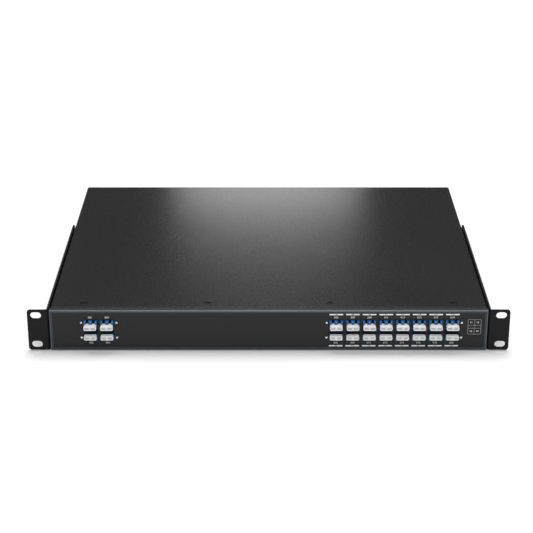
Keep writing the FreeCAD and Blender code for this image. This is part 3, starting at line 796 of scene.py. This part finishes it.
def print_port_marks():
    bars = []
    bar_figures = []
    numbers = []
    dashes = []
    for row, sign in ROWS.items():
        for number in range(1, COLUMNS + 1):
            across = centre_of("adapter_%s_%02d" % (row, number)).x
            count = 2 * number - (1 if sign > 0 else 0)
            numbers.append(figures("%03d" % count, across, sign * NUMBER_UP,
                                   NUMBER_SIZE, FIGURE_PRINT))
            if number <= LEFT_COLUMNS:
                continue
            bars.append(plate(across, sign * BAR_UP, BAR_WIDTH, BAR_HEIGHT, WHITE_PRINT))
            bar_figures.append(figures("%04d" % (FIRST_BAR_FIGURE + count), across,
                                       sign * BAR_UP, BAR_HEIGHT, DARK_PRINT, 1))
            for side in (-1, 1):
                dashes.append(plate(across + side * DASH_OUT, sign * NUMBER_UP,
                                    DASH_LENGTH, DASH_HEIGHT, GREY_PRINT))
    printed(bars, "print_bars")
    printed(bar_figures, "print_bar_figures")
    printed(numbers, "print_port_numbers")
    printed(dashes, "print_dashes")


def print_arrows():
    first_left = centre_of("adapter_upper_01").x
    last_left = centre_of("adapter_upper_%02d" % LEFT_COLUMNS).x
    first_right = centre_of("adapter_upper_%02d" % (LEFT_COLUMNS + 1)).x
    last_right = centre_of("adapter_upper_%02d" % COLUMNS).x
    places = (first_left - ARROW_CLEARANCE, last_left + ARROW_CLEARANCE,
              first_right - ARROW_CLEARANCE, last_right + ARROW_CLEARANCE)
    arrows = [arrow(across, sign * ARROW_UP, sign)
              for across in places for sign in ROWS.values()]
    printed(arrows, "print_arrows")


def print_legend():
    """A rounded frame with four numbered fields and a band between them."""
    width = LEGEND_RIGHT - LEGEND_LEFT
    height = LEGEND_HIGH - LEGEND_LOW
    middle_x = (LEGEND_LEFT + LEGEND_RIGHT) / 2
    middle_z = (LEGEND_LOW + LEGEND_HIGH) / 2
    outline = rounded_plate(middle_x, middle_z, width, height, LEGEND_ROUND, GREY_PRINT, 0)
    field_width = (width - 3 * LEGEND_LINE) / 2
    field_height = (height - 4 * LEGEND_LINE - LEGEND_BAND) / 2
    fields = []
    marks = []
    number = 0
    for up in (1, -1):
        for side in (-1, 1):
            number += 1
            across = middle_x + side * (field_width + LEGEND_LINE) / 2
            level = middle_z + up * (field_height + LEGEND_BAND + 2 * LEGEND_LINE) / 2
            fields.append(rounded_plate(across, level, field_width, field_height,
                                        FIELD_ROUND, DARK_PRINT, 1))
            marks.append(figures("%02d" % number, across, level,
                                 LEGEND_NUMBER_SIZE, FIGURE_PRINT, 2))
    for side in (-1, 1):
        across = middle_x + side * (field_width + LEGEND_LINE) / 2
        fields.append(rounded_plate(across, middle_z, field_width, LEGEND_BAND,
                                    BAND_ROUND, FACE_COAT, 1))
    outline.name = "legend_outline"
    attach(outline, "enclosure")
    printed(fields, "legend_fields")
    printed(marks, "legend_numbers")


# Stage, lights and camera

def make_floor():
    """A pale floor that grows as white as the surroundings away from the object."""
    bpy.ops.mesh.primitive_plane_add(size=FLOOR_SIZE)
    floor = bpy.context.object
    floor.name = "floor"
    floor.location = (0, 0, PANEL_LOW.z - FLOOR_GAP)
    settle(floor)
    material = bpy.data.materials.new("pale_floor")
    material.use_nodes = True
    tree = material.node_tree
    shader = tree.nodes["Principled BSDF"]
    shader.inputs["Base Color"].default_value = FLOOR_COLOUR
    shader.inputs["Roughness"].default_value = FLOOR_ROUGHNESS
    shader.inputs["Specular IOR Level"].default_value = FLOOR_SHINE
    shader.inputs["Emission Color"].default_value = (1, 1, 1, 1)
    place = tree.nodes.new("ShaderNodeTexCoord")
    distance = tree.nodes.new("ShaderNodeVectorMath")
    distance.operation = "LENGTH"
    glow = tree.nodes.new("ShaderNodeMapRange")
    glow.inputs["From Min"].default_value = FLOOR_FADE_START
    glow.inputs["From Max"].default_value = FLOOR_FADE_END
    path = tree.nodes.new("ShaderNodeLightPath")
    tree.links.new(place.outputs["Object"], distance.inputs[0])
    tree.links.new(distance.outputs["Value"], glow.inputs["Value"])
    seen = calculate(tree, "MULTIPLY", glow.outputs["Result"], path.outputs["Is Camera Ray"])
    tree.links.new(seen, shader.inputs["Emission Strength"])
    give(floor, material)


def lamp(name, place, target, width, height, power, shape):
    """A soft lamp that faces its target."""
    data = bpy.data.lights.new(name, "AREA")
    data.shape = shape
    data.size = width
    data.size_y = height
    data.energy = power
    made = placed(name, data)
    made.location = place
    made.rotation_euler = (Vector(target) - Vector(place)).to_track_quat("-Z", "Y").to_euler()


def make_world():
    """White to the camera, and dim to everything that reflects it."""
    world = bpy.data.worlds.new("studio")
    bpy.context.scene.world = world
    world.use_nodes = True
    tree = world.node_tree
    path = tree.nodes.new("ShaderNodeLightPath")
    strength = tree.nodes.new("ShaderNodeMapRange")
    strength.inputs["To Min"].default_value = SURROUNDING_LIGHT
    strength.inputs["To Max"].default_value = 1.0
    background = tree.nodes["Background"]
    background.inputs["Color"].default_value = (1, 1, 1, 1)
    tree.links.new(path.outputs["Is Camera Ray"], strength.inputs["Value"])
    tree.links.new(strength.outputs["Result"], background.inputs["Strength"])


def make_camera():
    data = bpy.data.cameras.new("photo_view")
    data.sensor_width = SENSOR_WIDTH
    data.lens = FOCAL_PIXELS / PHOTO_SIDE * SENSOR_WIDTH
    data.clip_start = NEAREST_SEEN
    data.clip_end = FARTHEST_SEEN
    camera = placed("photo_view", data)
    camera.location = CAMERA_PLACE
    camera.rotation_euler = (math.pi / 2 - CAMERA_PITCH, 0, 0)
    bpy.context.scene.camera = camera


dress_enclosure()
place_ear_screws()
place_ports()
dress_inside()
print_port_marks()
print_arrows()
print_legend()
make_floor()
make_world()
for values in LAMPS:
    lamp(*values)
make_camera()
bpy.context.scene.view_settings.view_transform = "Standard"
